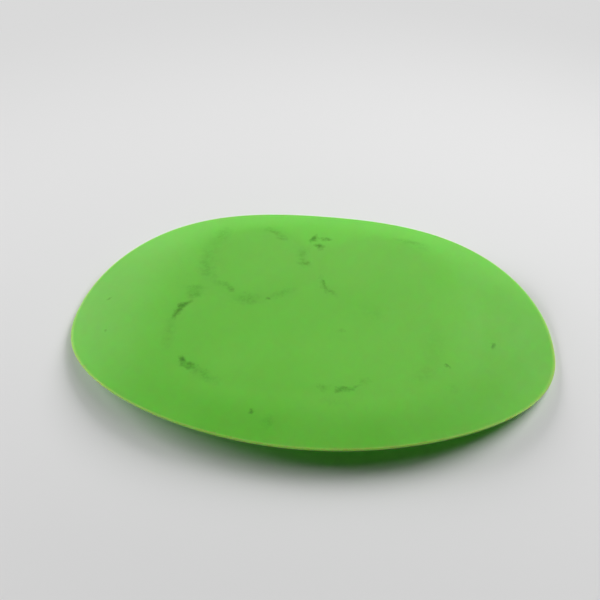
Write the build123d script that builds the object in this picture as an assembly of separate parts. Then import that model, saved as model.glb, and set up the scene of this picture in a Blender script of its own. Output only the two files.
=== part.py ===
"""Silicone mould mat with three cavities, lying on the rims of its cavities with its flat back up.

The mat is one moulding. Each region of it is a separate solid here, and the regions meet face to
face: a flat back (deck_sheet and the three cavity floors), the walls that stand under it, the
bridge_web that fills the gap between the two round walls, and the thin brim that hangs beyond.

Frame: +X is the long way, +Z is up, and the round cavities lie towards +Y. The origin is under the
middle of the outline, on the table that the rims rest on. Every length is in millimetres.
"""
import os
from math import atan2, cos, degrees, hypot, pi, sin, sqrt

from build123d import *

# Overall size
LENGTH = 381.0
DEPTH = 254.0
HEIGHT = 25.4
SHEET = 2.4

# Outline: half an ellipse in front, and a squarer half behind
OUTLINE_FRONT_POWER = 2.0
OUTLINE_BACK_POWER = 2.3

# The flat area of the back, which the walls hold up
FLAT_HALF_X = 115.0
FLAT_FRONT_Y = 93.0
FLAT_BACK_Y = 107.0
FLAT_POWER = 2.8
SPLINE_POINTS = 48

# How the free brim hangs
TIP_SAG = 22.3
SAG_POWER = 1.83
GRID_STEP = 10.0
SURFACE_TOLERANCE = 0.02

# Round cavities, measured on the middle of the wall
ROUND_X = 49.5
ROUND_Y = 51.0
ROUND_RADIUS = 44.0

# Long cavity, measured on the middle of the wall: a front arc, and a corner and a side at each end
FRONT_Y = -83.0
FRONT_RADIUS = 330.0
CORNER_RADIUS = 34.0
SIDE_X = 16.0
SIDE_Y = -22.0
SIDE_RADIUS = 85.5
SIDE_END_ANGLE = 48.0  # inside the round cavity, which cuts the wall off
PEAK_Y = 38.0

# Section of a wall
LIP_THICKNESS = 4.0
ROOT_THICKNESS = 6.0
LIP_ROUNDING = 1.5
ROOT_FLARE = 2.5

# The web between the round walls
WEB_HALF_X = 16.0
WEB_BACK_Y = 84.0

HALF_LENGTH = LENGTH / 2
HALF_DEPTH = DEPTH / 2
UNDERSIDE = HEIGHT - SHEET
WALL_DRAFT = degrees(atan2((ROOT_THICKNESS - LIP_THICKNESS) / 2, UNDERSIDE))


def oval_radius(angle, half_x, half_y, power):
    """Distance from the middle of an oval to its edge in the direction of angle (radians)."""
    return (abs(cos(angle) / half_x) ** power + abs(sin(angle) / half_y) ** power) ** (-1 / power)


def outline_radius(angle):
    """Distance from the origin to the mat's outline."""
    power = OUTLINE_BACK_POWER if sin(angle) > 0 else OUTLINE_FRONT_POWER
    return oval_radius(angle, HALF_LENGTH, HALF_DEPTH, power)


def flat_radius(angle):
    """Distance from the origin to the edge of the flat area."""
    half_y = FLAT_BACK_Y if sin(angle) > 0 else FLAT_FRONT_Y
    return oval_radius(angle, FLAT_HALF_X, half_y, FLAT_POWER)


def back_height(x, y):
    """Height of the back at (x, y): flat over the walls, and bent like a cantilever beyond."""
    angle = atan2(y, x)
    overhang = outline_radius(angle) - flat_radius(angle)
    reach = (hypot(x, y) - flat_radius(angle)) / overhang
    if reach <= 0:
        return HEIGHT
    bend = (6 * reach**2 - 4 * reach**3 + reach**4) / 3 if reach < 1 else 1 + (reach - 1) * 4 / 3
    return HEIGHT - TIP_SAG * (overhang / (HALF_LENGTH - FLAT_HALF_X)) ** SAG_POWER * bend


def oval_face(radius_at):
    """The flat face inside a closed curve, whose distance from the origin is radius_at(angle)."""
    angles = [2 * pi * i / SPLINE_POINTS for i in range(SPLINE_POINTS)]
    points = [(radius_at(angle) * cos(angle), radius_at(angle) * sin(angle)) for angle in angles]
    return make_face(Spline(*points, periodic=True))


def circle_meeting(first, first_radius, second, second_radius):
    """The point where two circles meet, to the right of the line from the first to the second."""
    across_x = second[0] - first[0]
    across_y = second[1] - first[1]
    apart = hypot(across_x, across_y)
    along = (first_radius**2 - second_radius**2 + apart**2) / (2 * apart)
    aside = sqrt(first_radius**2 - along**2)
    x = first[0] + (along * across_x + aside * across_y) / apart
    y = first[1] + (along * across_y - aside * across_x) / apart
    return x, y


def direction(start, end):
    """Angle in degrees of the line from one point to another."""
    return degrees(atan2(end[1] - start[1], end[0] - start[0]))


def long_cavity_arcs():
    """The middle of the long cavity's wall as tangent arcs: (centre, radius, start angle, turn)."""
    front = (0.0, FRONT_Y + FRONT_RADIUS)
    side = (SIDE_X, SIDE_Y)
    corner = circle_meeting(side, SIDE_RADIUS - CORNER_RADIUS, front, FRONT_RADIUS - CORNER_RADIUS)
    front_end = direction(front, corner)
    corner_end = direction(side, corner)
    right = [
        (corner, CORNER_RADIUS, front_end, corner_end - front_end),
        (side, SIDE_RADIUS, corner_end, SIDE_END_ANGLE - corner_end),
    ]
    left = [((-x, y), radius, 180 - start - turn, turn) for (x, y), radius, start, turn in right]
    return [(front, FRONT_RADIUS, -180 - front_end, 2 * (90 + front_end))] + right + left


def long_cavity_face():
    """The long cavity inside the middle of its wall, before the round cavities are taken out."""
    arcs = [CenterArc(centre, radius, start, turn) for centre, radius, start, turn in long_cavity_arcs()]
    right_end = arcs[2] @ 1
    left_end = arcs[4] @ 0
    top = Polyline(right_end, (WEB_HALF_X, PEAK_Y), (-WEB_HALF_X, PEAK_Y), left_end)
    return make_face([*arcs, top])


def round_face(side):
    """One round cavity inside the middle of its wall; side is -1 for left and 1 for right."""
    return Pos(side * ROUND_X, ROUND_Y) * Circle(ROUND_RADIUS)


def back_plate(face):
    """A region of the flat back, one sheet thick."""
    return Pos(0, 0, UNDERSIDE) * extrude(face, SHEET)


def brim():
    """The thin sheet outside the flat area, hanging under its own weight."""
    columns = int(HALF_LENGTH / GRID_STEP) + 1
    rows = int(HALF_DEPTH / GRID_STEP) + 1
    places = [column * GRID_STEP for column in range(-columns, columns + 1)]
    grid = [[(x, row * GRID_STEP, back_height(x, row * GRID_STEP)) for x in places]
            for row in range(-rows, rows + 1)]
    back = Face.make_surface_from_array_of_points(grid, tol=SURFACE_TOLERANCE, min_deg=3)
    sheet = Solid.extrude(back, (0, 0, -SHEET))
    inside_outline = extrude(oval_face(outline_radius), HEIGHT + SHEET)
    flat_core = extrude(oval_face(flat_radius), HEIGHT + SHEET)
    return (sheet & inside_outline) - flat_core


def wall_section():
    """Section across a wall, with the middle of the wall at x = 0 and its height along y.

    The wall thickens towards its root, flares into the back, and has a rounded lip at y = 0.
    """
    lip = LIP_THICKNESS / 2
    root = ROOT_THICKNESS / 2
    edge = root + 2 * ROOT_FLARE
    corners = [
        (-lip, 0),
        (lip, 0),
        (root, UNDERSIDE),
        (edge, UNDERSIDE),
        (edge, HEIGHT),
        (-edge, HEIGHT),
        (-edge, UNDERSIDE),
        (-root, UNDERSIDE),
    ]
    section = make_face(Polyline(*corners, close=True))
    lip_corners = [v for v in section.vertices() if v.Y < LIP_ROUNDING]
    section = fillet(lip_corners, LIP_ROUNDING)
    root_corners = [v for v in section.vertices() if abs(v.Y - UNDERSIDE) < 0.01 and abs(v.X) < edge - 1]
    section = fillet(root_corners, ROOT_FLARE)
    below_back = Pos(0, UNDERSIDE / 2) * Rectangle(4 * edge, UNDERSIDE)
    return section & below_back


def turned_wall(centre, radius, start_angle=0.0, turn=360.0):
    """A wall whose middle follows an arc."""
    upright = Plane.XZ * Pos(radius, 0) * wall_section()
    return Pos(*centre) * revolve(Rot(0, 0, start_angle) * upright, Axis.Z, turn)


def round_wall(side):
    """The wall of one round cavity."""
    return turned_wall((side * ROUND_X, ROUND_Y), ROUND_RADIUS)


def outside_round_walls(solid):
    """What is left of a solid outside both round walls."""
    for side in (-1, 1):
        solid = solid - (round_wall(side) + extrude(round_face(side), UNDERSIDE))
    return solid


def long_cavity_wall():
    """The wall of the long cavity, from one round wall round the front to the other."""
    walls = [turned_wall(*arc) for arc in long_cavity_arcs()]
    return outside_round_walls(walls[0] + walls[1:])


def bridge_web():
    """The solid web between the round walls. Its front face closes the long cavity."""
    front = PEAK_Y - LIP_THICKNESS / 2
    foot = Pos(0, (front + WEB_BACK_Y) / 2) * Rectangle(2 * WEB_HALF_X, WEB_BACK_Y - front)
    block = extrude(foot, UNDERSIDE, taper=-WALL_DRAFT)
    foot_edges = block.faces().sort_by(Axis.Z)[0].edges()
    return outside_round_walls(fillet(foot_edges, LIP_ROUNDING))


def build_nodes():
    """Every region of the moulding, by name."""
    left_round = round_face(-1)
    right_round = round_face(1)
    long_cavity = long_cavity_face() - left_round - right_round
    deck = oval_face(flat_radius) - left_round - right_round - long_cavity
    return {
        "brim": brim(),
        "deck_sheet": back_plate(deck),
        "left_cavity_floor": back_plate(left_round),
        "right_cavity_floor": back_plate(right_round),
        "long_cavity_floor": back_plate(long_cavity),
        "left_cavity_wall": round_wall(-1),
        "right_cavity_wall": round_wall(1),
        "long_cavity_wall": long_cavity_wall(),
        "bridge_web": bridge_web(),
    }


os.makedirs("parts", exist_ok=True)
for name, shape in build_nodes().items():
    export_step(shape, f"parts/{name}.step")
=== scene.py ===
"""Looks for the silicone mould mat: one drooping green sheet on the walls of its cavities.

Everything is in metres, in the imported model's frame. Sizes come from the frame's boxes, and the
few that a box can't give, such as the section of a wall, are named below.
"""
from math import atan2, cos, exp, hypot, pi, radians, sin, sqrt

import bpy
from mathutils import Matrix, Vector


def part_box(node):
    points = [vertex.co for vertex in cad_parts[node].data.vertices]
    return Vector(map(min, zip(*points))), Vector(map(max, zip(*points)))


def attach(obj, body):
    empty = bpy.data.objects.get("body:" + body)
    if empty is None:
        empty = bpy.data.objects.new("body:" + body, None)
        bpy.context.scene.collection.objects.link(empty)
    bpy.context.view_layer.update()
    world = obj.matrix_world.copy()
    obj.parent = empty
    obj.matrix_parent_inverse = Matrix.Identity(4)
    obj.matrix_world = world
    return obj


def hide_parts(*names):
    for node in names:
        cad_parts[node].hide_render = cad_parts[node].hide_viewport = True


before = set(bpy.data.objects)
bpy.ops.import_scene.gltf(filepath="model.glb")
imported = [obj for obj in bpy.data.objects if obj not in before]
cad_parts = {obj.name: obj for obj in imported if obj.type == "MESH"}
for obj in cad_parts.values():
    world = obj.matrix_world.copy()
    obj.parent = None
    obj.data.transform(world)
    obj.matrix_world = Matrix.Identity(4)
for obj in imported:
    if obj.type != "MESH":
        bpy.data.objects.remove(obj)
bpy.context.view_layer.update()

MM = 0.001

# Sizes read from the frame
brim_low, brim_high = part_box("brim")
deck_low, deck_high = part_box("deck_sheet")
round_low, round_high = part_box("right_cavity_floor")
long_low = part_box("long_cavity_floor")[0]

HALF_LENGTH = (brim_high.x - brim_low.x) / 2
HALF_DEPTH = (brim_high.y - brim_low.y) / 2
HEIGHT = deck_high.z
UNDERSIDE = deck_low.z
SHEET = HEIGHT - UNDERSIDE
FLAT_HALF_X = deck_high.x
FLAT_BACK_Y = deck_high.y
FLAT_FRONT_Y = -deck_low.y
ROUND_X = (round_low.x + round_high.x) / 2
ROUND_Y = (round_low.y + round_high.y) / 2
ROUND_RADIUS = (round_high.x - round_low.x) / 2
FRONT_Y = long_low.y

# The outline is half an ellipse in front and squarer behind
OUTLINE_FRONT_POWER = 2.0
OUTLINE_BACK_POWER = 2.3
FLAT_POWER = 2.8

# How the free brim hangs
TIP_SAG = 22.3 * MM
SAG_POWER = 1.83
ROOT_EASING = 0.3  # the bend starts gently, over this part of the brim

# The long cavity's wall: a front arc, and a corner and a side at each end
FRONT_RADIUS = 330 * MM
CORNER_RADIUS = 34 * MM
SIDE_X = 16 * MM
SIDE_Y = -22 * MM
SIDE_RADIUS = 85.5 * MM

# Section of a wall
LIP_THICKNESS = 4 * MM
ROOT_THICKNESS = 6 * MM
LIP_ROUNDING = 1.5 * MM
ROOT_FLARE = 2.5 * MM
ROOT_IN_SHEET = 0.4 * MM  # how far a wall's top lies inside the sheet

EDGE_ROUNDING = 0.5 * MM  # the two corners of the sheet's edge

# Where a wall pulls the back in a little as the silicone cures
SINK_DEPTH = 0.10 * MM
SINK_WIDTH = 3.5 * MM
FAR_AWAY = 1.0  # a distance at which a wall pulls nothing in

# How finely the meshes are cut
TURN_STEPS = 480  # round the sheet
FLAT_RINGS = 66  # over the flat area, on the back
UNDER_RINGS = 24  # the same, underneath
BRIM_RINGS = 30
EDGE_STEPS = 4  # round each corner of the sheet's edge
PATH_STEP = 1.6 * MM  # along a wall
CURVE_STEPS = 6  # round each curve of a wall's section


# ---------------------------------------------------------------- outline, bend and walls' places


def oval_radius(angle, half_x, half_y, power):
    """Distance from the middle of an oval to its edge in the direction of angle."""
    return (abs(cos(angle) / half_x) ** power + abs(sin(angle) / half_y) ** power) ** (-1 / power)


def outline_radius(angle):
    power = OUTLINE_BACK_POWER if sin(angle) > 0 else OUTLINE_FRONT_POWER
    return oval_radius(angle, HALF_LENGTH, HALF_DEPTH, power)


def flat_radius(angle):
    half_y = FLAT_BACK_Y if sin(angle) > 0 else FLAT_FRONT_Y
    return oval_radius(angle, FLAT_HALF_X, half_y, FLAT_POWER)


def bend(reach):
    """How far a hanging strip has dropped at reach, from nearly 0 at its root to about 1 at its end."""
    eased = (reach + hypot(reach, ROOT_EASING)) / 2
    return (6 * eased**2 - 4 * eased**3 + eased**4) / 3


def sag(angle, reach):
    """How far the sheet hangs down at reach, which is 0 at the flat area's edge and 1 at the outline."""
    overhang = outline_radius(angle) - flat_radius(angle)
    most = TIP_SAG * (overhang / (HALF_LENGTH - FLAT_HALF_X)) ** SAG_POWER
    return most * bend(reach) / bend(1)


def circle_meeting(first, first_radius, second, second_radius):
    """The point where two circles meet, to the right of the line from the first to the second."""
    across = (second[0] - first[0], second[1] - first[1])
    apart = hypot(*across)
    along = (first_radius**2 - second_radius**2 + apart**2) / (2 * apart)
    aside = sqrt(first_radius**2 - along**2)
    x = first[0] + (along * across[0] + aside * across[1]) / apart
    y = first[1] + (along * across[1] - aside * across[0]) / apart
    return x, y


def direction(start, end):
    return atan2(end[1] - start[1], end[0] - start[0])


def long_cavity_arcs():
    """The middle of the long cavity's wall, from left to right: (centre, radius, start, turn)."""
    front = (0.0, FRONT_Y + FRONT_RADIUS)
    side = (SIDE_X, SIDE_Y)
    corner = circle_meeting(side, SIDE_RADIUS - CORNER_RADIUS, front, FRONT_RADIUS - CORNER_RADIUS)
    front_end = direction(front, corner)
    corner_end = direction(side, corner)
    junction = circle_meeting(side, SIDE_RADIUS, (ROUND_X, ROUND_Y), ROUND_RADIUS)
    side_end = direction(side, junction)
    right = [
        (corner, CORNER_RADIUS, front_end, corner_end - front_end),
        (side, SIDE_RADIUS, corner_end, side_end - corner_end),
    ]
    left = [((-x, y), radius, pi - start - turn, turn) for (x, y), radius, start, turn in reversed(right)]
    return left + [(front, FRONT_RADIUS, -pi - front_end, pi + 2 * front_end)] + right


LONG_ARCS = long_cavity_arcs()


def arc_distance(x, y, centre, radius, start, turn):
    """Distance from (x, y) to an arc, or a very large one past its ends."""
    angle = direction(centre, (x, y))
    if (angle - start) % (2 * pi) > turn:
        return FAR_AWAY
    return abs(hypot(x - centre[0], y - centre[1]) - radius)


def sink(x, y):
    """How far the back is pulled in over the middle of the nearest wall."""
    rounds = [abs(hypot(x - side * ROUND_X, y - ROUND_Y) - ROUND_RADIUS) for side in (-1, 1)]
    longs = [arc_distance(x, y, *arc) for arc in LONG_ARCS]
    nearest = min(rounds + longs)
    return SINK_DEPTH * exp(-((nearest / SINK_WIDTH) ** 2))


# ---------------------------------------------------------------- sheet


def make_piece(name, points, faces, material, *nodes):
    """A smooth closed piece that rides on the mat's one body and stands for CAD nodes."""
    mesh = bpy.data.meshes.new(name)
    mesh.from_pydata(points, [], faces)
    mesh.validate()
    mesh.shade_smooth()
    mesh.materials.append(material)
    piece = bpy.data.objects.new(name, mesh)
    bpy.context.scene.collection.objects.link(piece)
    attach(piece, "root")
    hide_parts(*nodes)
    return piece


def sheet_column(angle):
    """One line of points over the back, round the edge and under again, in one direction."""
    flat = flat_radius(angle)
    overhang = outline_radius(angle) - flat
    last_radius = flat + overhang - EDGE_ROUNDING

    def on_back(radius):
        drop = sag(angle, (radius - flat) / overhang)
        return radius, HEIGHT - drop - sink(radius * cos(angle), radius * sin(angle))

    def underneath(radius):
        return radius, UNDERSIDE - sag(angle, (radius - flat) / overhang)

    brim = [flat + (last_radius - flat) * i / BRIM_RINGS for i in range(BRIM_RINGS)]
    column = [on_back(flat * i / FLAT_RINGS) for i in range(1, FLAT_RINGS)]
    column += [on_back(radius) for radius in brim]
    # The edge is square across the sheet, with rounded corners
    end = on_back(last_radius)
    slope = atan2(end[1] - column[-1][1], end[0] - column[-1][0])
    for depth, start in ((EDGE_ROUNDING, pi / 2), (SHEET - EDGE_ROUNDING, 0)):
        middle = (end[0] + depth * sin(slope), end[1] - depth * cos(slope))
        for i in range(EDGE_STEPS + 1):
            turn = slope + start - pi / 2 * i / EDGE_STEPS
            place = (middle[0] + EDGE_ROUNDING * cos(turn), middle[1] + EDGE_ROUNDING * sin(turn))
            column.append(place)
    column += [underneath(radius) for radius in reversed(brim)]
    column += [underneath(flat * i / UNDER_RINGS) for i in reversed(range(1, UNDER_RINGS))]
    return [(radius * cos(angle), radius * sin(angle), height) for radius, height in column]


def build_sheet(material):
    """The whole back and brim as one closed sheet with a rounded edge."""
    columns = [sheet_column(2 * pi * i / TURN_STEPS) for i in range(TURN_STEPS)]
    length = len(columns[0])
    points = [point for column in columns for point in column]
    top = len(points)
    points += [(0, 0, HEIGHT), (0, 0, UNDERSIDE)]
    faces = []
    for i in range(TURN_STEPS):
        here = i * length
        there = (i + 1) % TURN_STEPS * length
        faces.append((top, here, there))
        faces.append((top + 1, there + length - 1, here + length - 1))
        for j in range(length - 1):
            faces.append((here + j, here + j + 1, there + j + 1, there + j))
    nodes = ("brim", "deck_sheet", "left_cavity_floor", "right_cavity_floor", "long_cavity_floor")
    sheet = make_piece("sheet", points, faces, material, *nodes)
    # The rings round the cut edge are marked, for the material's painted edge glow
    first = FLAT_RINGS - 1 + BRIM_RINGS
    edge_rings = range(first, first + 2 * (EDGE_STEPS + 1))
    edge = sheet.data.attributes.new("edge", "FLOAT", "POINT")
    edge.data.foreach_set("value", [float(i % length in edge_rings) for i in range(len(points))])


# ---------------------------------------------------------------- walls


def rounded(corner_x, corner_y, radius, start, turn):
    """Points round a corner, about a centre, from start through turn."""
    steps = [start + turn * i / CURVE_STEPS for i in range(CURVE_STEPS + 1)]
    return [(corner_x + radius * cos(a), corner_y + radius * sin(a)) for a in steps]


def half_section():
    """One side of a wall's section from the middle of its lip to the sheet: (offset, height)."""
    lip = LIP_THICKNESS / 2
    root = ROOT_THICKNESS / 2
    draft = atan2(root - lip, UNDERSIDE)
    land = lip - LIP_ROUNDING
    lip_curve = rounded(land, LIP_ROUNDING, LIP_ROUNDING, -pi / 2, pi / 2 - draft)
    reach = ROOT_FLARE * (1 - sin(draft)) / cos(draft)
    flare_curve = rounded(root + reach, UNDERSIDE - ROOT_FLARE, ROOT_FLARE, pi - draft, draft - pi / 2)
    inside = (root + reach, UNDERSIDE + ROOT_IN_SHEET)
    return [(0, 0)] + lip_curve + flare_curve + [inside]


def wall_section():
    """The closed section of a wall, all round."""
    right = half_section()
    left = [(-offset, height) for offset, height in reversed(right[1:])]
    return right + left


def path_along(arcs):
    """Evenly spaced (x, y, outward angle) along tangent arcs."""
    path = []
    for centre, radius, start, turn in arcs:
        steps = max(2, round(radius * turn / PATH_STEP))
        for i in range(steps + 1):
            if path and i == 0:
                continue
            angle = start + turn * i / steps
            path.append((centre[0] + radius * cos(angle), centre[1] + radius * sin(angle), angle))
    return path


def build_wall(name, arcs, closed, material):
    """A wall of constant section along a path. An open wall is capped at both ends."""
    section = wall_section()
    path = path_along(arcs)
    if closed:
        path = path[:-1]
    points = []
    for x, y, outward in path:
        for offset, height in section:
            points.append((x + offset * cos(outward), y + offset * sin(outward), height))
    around = len(section)
    faces = []
    for i in range(len(path) if closed else len(path) - 1):
        here = i * around
        there = (i + 1) % len(path) * around
        for j in range(around):
            k = (j + 1) % around
            faces.append((here + j, there + j, there + k, here + k))
    if not closed:
        faces.append(tuple(range(around)))
        faces.append(tuple(reversed(range(len(points) - around, len(points)))))
    make_piece(name, points, faces, material, name)


def build_walls(material):
    for name, side in (("left_cavity_wall", -1), ("right_cavity_wall", 1)):
        circle = [((side * ROUND_X, ROUND_Y), ROUND_RADIUS, 0.0, 2 * pi)]
        build_wall(name, circle, True, material)
    build_wall("long_cavity_wall", LONG_ARCS, False, material)


# ---------------------------------------------------------------- silicone

SILICONE_GREEN = (0.212, 0.755, 0.044, 1)
PALE_GREEN = (0.232, 0.780, 0.056, 1)  # where the pigment mixed in less evenly
EDGE_GLOW_PAINT = (0.580, 0.980, 0.170, 1)  # painted glow: a lighter base colour at the cut edge stands for light from inside the sheet coming out there
GRIME = (0.022, 0.105, 0.012, 1)
GRIME_COVER = 0.75
THROUGH_GREEN = (0.30, 0.80, 0.09, 1)  # what the sheet lets through
THROUGH_SHARE = 0.35
SCATTER_DEPTH = 6 * MM
SCATTER_SHARES = (0.15, 1.0, 0.04)  # of that depth, for red, green and blue
SILICONE_IOR = 1.41
SMOOTHEST = 0.64  # roughness, which varies from this
ROUGHEST = 0.74  # to this
SHEEN = 0.52
SHEEN_ON_GRIME = 0.12
SHEEN_ROUGHNESS = 0.5
GRAIN_HEIGHT = 0.2 * MM
GRAIN_STRENGTH = 0.08

# Cells per metre of the noises
MOTTLE_SCALE = 14
HAZE_SCALE = 45
COARSE_TEAR_SCALE = 110
PATCH_SCALE = 300
FINE_TEAR_SCALE = 520
GRAIN_SCALE = 1400

# How far the two tears move a smudge's outline
COARSE_TEAR = (10 * MM, 10 * MM, 0)
FINE_TEAR = (4 * MM, 4 * MM, 0)
SMUDGE_SPREAD = 1.5  # a smudge fades out at this many times its size

# Rubbed-in dirt, most of it over the walls: (x, y, half length, half width, degrees, strength) in mm
SMUDGES = [
    # Round the left round cavity
    (-86, 86, 12, 6, 72, 0.30),
    (-91, 58, 13, 7, 105, 0.22),
    (-90, 40, 12, 5, 125, 0.34),
    (-73, 23, 9, 2.6, -18, 0.34),
    (-65, 18, 2.5, 2, 0, 0.5),
    (-50, 8, 11, 6, 0, 0.36),
    (-34, 11, 2, 1.2, 0, 0.8),
    (-24, 18, 9, 3.5, 38, 0.32),
    (-11, 57, 6, 3.5, -30, 0.5),
    (-14, 70, 4, 7, 0, 0.34),
    (-44, 98, 6, 3.5, -15, 0.42),
    (-36, 91, 6, 3.5, -50, 0.42),
    # Between the round cavities
    (-7, 91.5, 2.6, 4.2, -20, 0.85),
    (3, 92, 4.5, 2, 0, 0.9),
    (-1, 81, 3.6, 2.6, -40, 0.95),
    # Round the right round cavity
    (6, 38, 1.3, 5, 10, 0.8),
    (8, 30, 6, 2.2, -55, 0.5),
    (14, 24, 6, 2.2, -35, 0.42),
    (73, 98, 9, 3.5, -10, 0.36),
    (85, 93, 8, 3.5, -30, 0.18),
    (50, 5, 8, 6, 0, 0.14),
    # Along the long cavity
    (-93, 16, 8, 4, 0, 0.34),
    (-93, 8, 7, 3.5, 10, 0.5),
    (-97, -3, 5, 2.6, 50, 0.8),
    (-101, -12, 7.5, 2.6, 72, 0.9),
    (-102, -35, 18, 4, 97, 0.20),
    (-86, -62, 2.6, 4, 20, 0.95),
    (-80, -67, 6.5, 3, -15, 0.72),
    (-67, -75, 11, 4, -28, 0.36),
    (18, -76, 4, 2.5, 0, 0.42),
    (29, -78, 3, 1.4, 15, 0.34),
    (36, -75, 9, 1.7, 22, 0.6),
    (47, -66, 5.5, 3, 10, 0.42),
    (28, -88, 9, 5, 0, 0.14),
    (95, -28, 24, 7, 90, 0.13),
    (88, -57, 9, 5, 60, 0.16),
    # Specks
    (140, -15, 3.4, 1.6, 70, 0.95),
    (105, -44.5, 1.6, 1.2, -20, 1.0),
    (109, -65, 4, 4, 0, 0.16),
    (27, -18, 3, 2, 0, 0.3),
    (-28.5, -102, 2.2, 1.4, 30, 0.9),
    (-16, -110, 3, 5, -20, 0.32),
    (-164, 9, 1.6, 1.2, 40, 0.6),
    (-154.5, -31.5, 1.6, 1.2, 40, 0.6),
]


class Nodes:
    """Adds nodes to a tree, one call each."""

    def __init__(self, tree):
        self.tree = tree

    def add(self, kind, inputs=(), **settings):
        """A node with its settings, and inputs given as values or as sockets to link from."""
        node = self.tree.nodes.new(kind)
        for name, value in settings.items():
            setattr(node, name, value)
        for key, value in dict(inputs).items():
            if isinstance(value, bpy.types.NodeSocket):
                self.tree.links.new(value, node.inputs[key])
            else:
                node.inputs[key].default_value = value
        return node

    def math(self, operation, *values, clamp=False):
        node = self.add("ShaderNodeMath", enumerate(values), operation=operation, use_clamp=clamp)
        return node.outputs[0]

    def vector(self, operation, *values, output=0):
        return self.add("ShaderNodeVectorMath", enumerate(values), operation=operation).outputs[output]

    def noise(self, place, scale, detail=3.0, roughness=0.5, output="Fac"):
        inputs = {"Vector": place, "Scale": scale, "Detail": detail, "Roughness": roughness}
        return self.add("ShaderNodeTexNoise", inputs).outputs[output]

    def ramp(self, value, low, high, to_low=0.0, to_high=1.0):
        """value eased from to_low at low to to_high at high."""
        inputs = {"Value": value, 1: low, 2: high, 3: to_low, 4: to_high}
        return self.add("ShaderNodeMapRange", inputs, interpolation_type="SMOOTHSTEP").outputs[0]

    def mix(self, amount, first, second):
        inputs = {0: amount, 6: first, 7: second}
        return self.add("ShaderNodeMix", inputs, data_type="RGBA").outputs[2]


def new_material(name):
    """A material, its shader and its node maker."""
    material = bpy.data.materials.new(name)
    material.use_nodes = True
    shader = material.node_tree.nodes["Principled BSDF"]
    return material, shader, Nodes(material.node_tree)


def smudge_amount(nodes, place):
    """How dirty the back is at place, from 0 to 1: the smudges, with torn and patchy outlines."""
    torn = place
    for scale, tear in ((COARSE_TEAR_SCALE, COARSE_TEAR), (FINE_TEAR_SCALE, FINE_TEAR)):
        noise = nodes.noise(place, scale, output="Color")
        offset = nodes.vector("SUBTRACT", noise, (0.5, 0.5, 0.5))
        torn = nodes.vector("MULTIPLY_ADD", offset, tear, torn)
    amount = 0.0
    for x, y, half_length, half_width, degrees, strength in SMUDGES:
        mapping = {
            "Vector": torn,
            "Location": (x * MM, y * MM, 0),
            "Rotation": (0, 0, radians(degrees)),
            "Scale": (SMUDGE_SPREAD * half_length * MM, SMUDGE_SPREAD * half_width * MM, 1),
        }
        inside = nodes.add("ShaderNodeMapping", mapping, vector_type="TEXTURE").outputs[0]
        spot = nodes.add("ShaderNodeTexGradient", {"Vector": inside}, gradient_type="SPHERICAL")
        amount = nodes.math("MULTIPLY_ADD", spot.outputs["Fac"], strength, amount)
    patchy = nodes.noise(place, PATCH_SCALE, detail=5, roughness=0.65)
    patches = nodes.ramp(patchy, 0.36, 0.62, 0.35, 1.25)
    return nodes.math("MULTIPLY", amount, patches, clamp=True)


def silicone_material():
    """Satin translucent silicone, with a painted glow at its cut edge. Dirt shows on faces that look up.
    """
    material, shader, nodes = new_material("silicone")
    coordinates = nodes.add("ShaderNodeTexCoord").outputs
    place = coordinates["Object"]
    upward = nodes.add("ShaderNodeSeparateXYZ", {0: coordinates["Normal"]}).outputs["Z"]
    on_back = nodes.ramp(upward, 0.5, 0.8)
    smudge = nodes.math("MULTIPLY", smudge_amount(nodes, place), on_back)

    mottle = nodes.ramp(nodes.noise(place, MOTTLE_SCALE, detail=2), 0.35, 0.65)
    green = nodes.mix(mottle, SILICONE_GREEN, PALE_GREEN)
    # Painted glow: the cut edge gets a lighter base colour in place of the light that comes out of the
    # sheet there
    edge = nodes.add("ShaderNodeAttribute", attribute_name="edge").outputs["Fac"]
    green = nodes.mix(edge, green, EDGE_GLOW_PAINT)
    green = nodes.mix(nodes.math("MULTIPLY", smudge, GRIME_COVER), green, GRIME)
    nodes.tree.links.new(green, shader.inputs["Base Color"])

    haze = nodes.noise(place, HAZE_SCALE, detail=4)
    roughness = nodes.ramp(haze, 0.3, 0.7, SMOOTHEST, ROUGHEST)
    nodes.tree.links.new(roughness, shader.inputs["Roughness"])
    sheen = nodes.ramp(smudge, 0, 0.6, SHEEN, SHEEN_ON_GRIME)
    nodes.tree.links.new(sheen, shader.inputs["Sheen Weight"])
    grain = nodes.noise(place, GRAIN_SCALE, detail=3)
    bump = {"Height": grain, "Strength": GRAIN_STRENGTH, "Distance": GRAIN_HEIGHT}
    nodes.tree.links.new(nodes.add("ShaderNodeBump", bump).outputs[0], shader.inputs["Normal"])
    shader.inputs["IOR"].default_value = SILICONE_IOR
    shader.inputs["Sheen Roughness"].default_value = SHEEN_ROUGHNESS
    shader.inputs["Subsurface Weight"].default_value = 1.0
    shader.inputs["Subsurface Radius"].default_value = SCATTER_SHARES
    shader.inputs["Subsurface Scale"].default_value = SCATTER_DEPTH

    through = nodes.add("ShaderNodeBsdfTranslucent", {"Color": THROUGH_GREEN}).outputs[0]
    sides = {0: THROUGH_SHARE, 1: shader.outputs[0], 2: through}
    both = nodes.add("ShaderNodeMixShader", sides).outputs[0]
    nodes.tree.links.new(both, nodes.tree.nodes["Material Output"].inputs["Surface"])
    return material


# ---------------------------------------------------------------- floor, lights and camera

FLOOR_HALF = 12.0
FLOOR_GREY = (0.80, 0.80, 0.80, 1)
FLOOR_ROUGHNESS = 0.8
FLOOR_SHINE = 0.2
BACKGROUND = (0.70, 0.70, 0.70, 1)
# The floor turns into the background between these distances from the middle
FLOOR_FADE_START = 0.2
FLOOR_FADE_END = 0.7

LIGHT_AIM = Vector((0, 0.05, 0))
LIGHT_DISTANCE = 2.2
ROOM_LIGHT = 0.02  # how much of the background's brightness lights the scene

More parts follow.
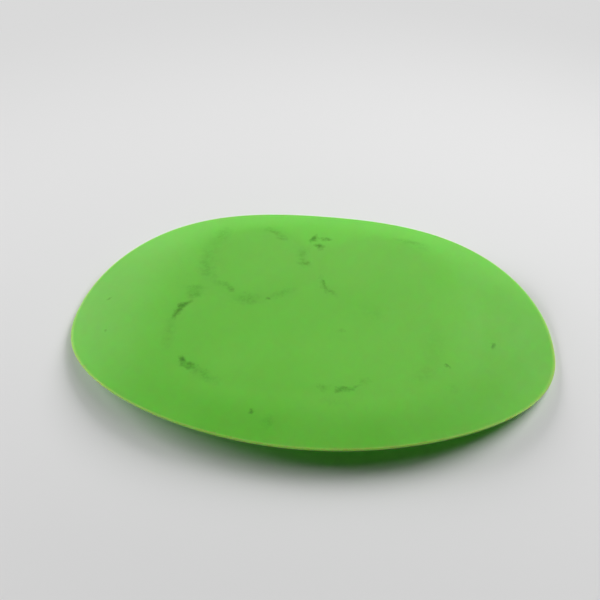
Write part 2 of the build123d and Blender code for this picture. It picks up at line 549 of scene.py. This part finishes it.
CAMERA_TARGET = Vector((-0.01255, 0.0399, 0))
CAMERA_DISTANCE = 0.6666
CAMERA_AZIMUTH = 0.127  # radians, from the front towards the right
CAMERA_ELEVATION = 0.737  # radians
LENS = 48  # mm, as the sensor is
SENSOR = 36


def floor_material():
    """Pale matt paper, which far away fades into the background."""
    material, shader, nodes = new_material("floor")
    place = nodes.add("ShaderNodeTexCoord").outputs["Object"]
    shader.inputs["Base Color"].default_value = FLOOR_GREY
    shader.inputs["Roughness"].default_value = FLOOR_ROUGHNESS
    shader.inputs["Specular IOR Level"].default_value = FLOOR_SHINE
    away = nodes.vector("LENGTH", place, output="Value")
    fade = nodes.ramp(away, FLOOR_FADE_START, FLOOR_FADE_END)
    far = nodes.add("ShaderNodeEmission", {"Color": BACKGROUND}).outputs[0]
    both = nodes.add("ShaderNodeMixShader", {0: fade, 1: shader.outputs[0], 2: far}).outputs[0]
    nodes.tree.links.new(both, nodes.tree.nodes["Material Output"].inputs["Surface"])
    return material


def add_floor():
    mesh = bpy.data.meshes.new("floor")
    corners = [(x * FLOOR_HALF, y * FLOOR_HALF, 0) for x, y in ((-1, -1), (1, -1), (1, 1), (-1, 1))]
    mesh.from_pydata(corners, [], [(0, 1, 2, 3)])
    mesh.materials.append(floor_material())
    floor = bpy.data.objects.new("floor", mesh)
    bpy.context.scene.collection.objects.link(floor)


def add_softbox(name, azimuth, elevation, size, power):
    """A rectangular light that faces the mat, from the back at azimuth 0 and the right at 90."""
    light = bpy.data.lights.new(name, "AREA")
    light.shape = "RECTANGLE"
    light.size, light.size_y = size
    light.energy = power
    lamp = bpy.data.objects.new(name, light)
    bpy.context.scene.collection.objects.link(lamp)
    level = LIGHT_DISTANCE * cos(radians(elevation))
    lamp.location = (
        level * sin(radians(azimuth)),
        level * cos(radians(azimuth)),
        LIGHT_DISTANCE * sin(radians(elevation)),
    )
    lamp.rotation_euler = (LIGHT_AIM - lamp.location).to_track_quat("-Z", "Y").to_euler()
    lamp.visible_camera = False


def add_lights():
    """Four softboxes (sizes in metres, powers in watts) and a pale background that lights little."""
    world = bpy.data.worlds.new("studio")
    bpy.context.scene.world = world
    world.use_nodes = True
    nodes = Nodes(world.node_tree)
    seen = nodes.add("ShaderNodeLightPath").outputs["Is Camera Ray"]
    background = world.node_tree.nodes["Background"]
    background.inputs["Color"].default_value = BACKGROUND
    world.node_tree.links.new(nodes.ramp(seen, 0, 1, ROOM_LIGHT, 1), background.inputs["Strength"])
    add_softbox("key", 48, 36, (1.5, 1.3), 38)
    add_softbox("left", -78, 25, (1.5, 1.1), 37)
    add_softbox("overhead", 65, 63, (1.5, 1.1), 9)
    add_softbox("back", 0, 12, (2.2, 0.9), 3.5)


def add_camera():
    camera = bpy.data.objects.new("camera", bpy.data.cameras.new("camera"))
    bpy.context.scene.collection.objects.link(camera)
    camera.data.lens = LENS
    camera.data.sensor_width = SENSOR
    camera.data.clip_start = 0.01
    level = CAMERA_DISTANCE * cos(CAMERA_ELEVATION)
    offset = Vector((
        level * sin(CAMERA_AZIMUTH),
        -level * cos(CAMERA_AZIMUTH),
        CAMERA_DISTANCE * sin(CAMERA_ELEVATION),
    ))
    camera.location = CAMERA_TARGET + offset
    camera.rotation_euler = (-offset).to_track_quat("-Z", "Y").to_euler()
    bpy.context.scene.camera = camera


bpy.context.scene.view_settings.view_transform = "Standard"
silicone = silicone_material()
build_sheet(silicone)
build_walls(silicone)
bpy.data.objects["bridge_web"].material_slots[0].material = silicone
add_floor()
add_lights()
add_camera()
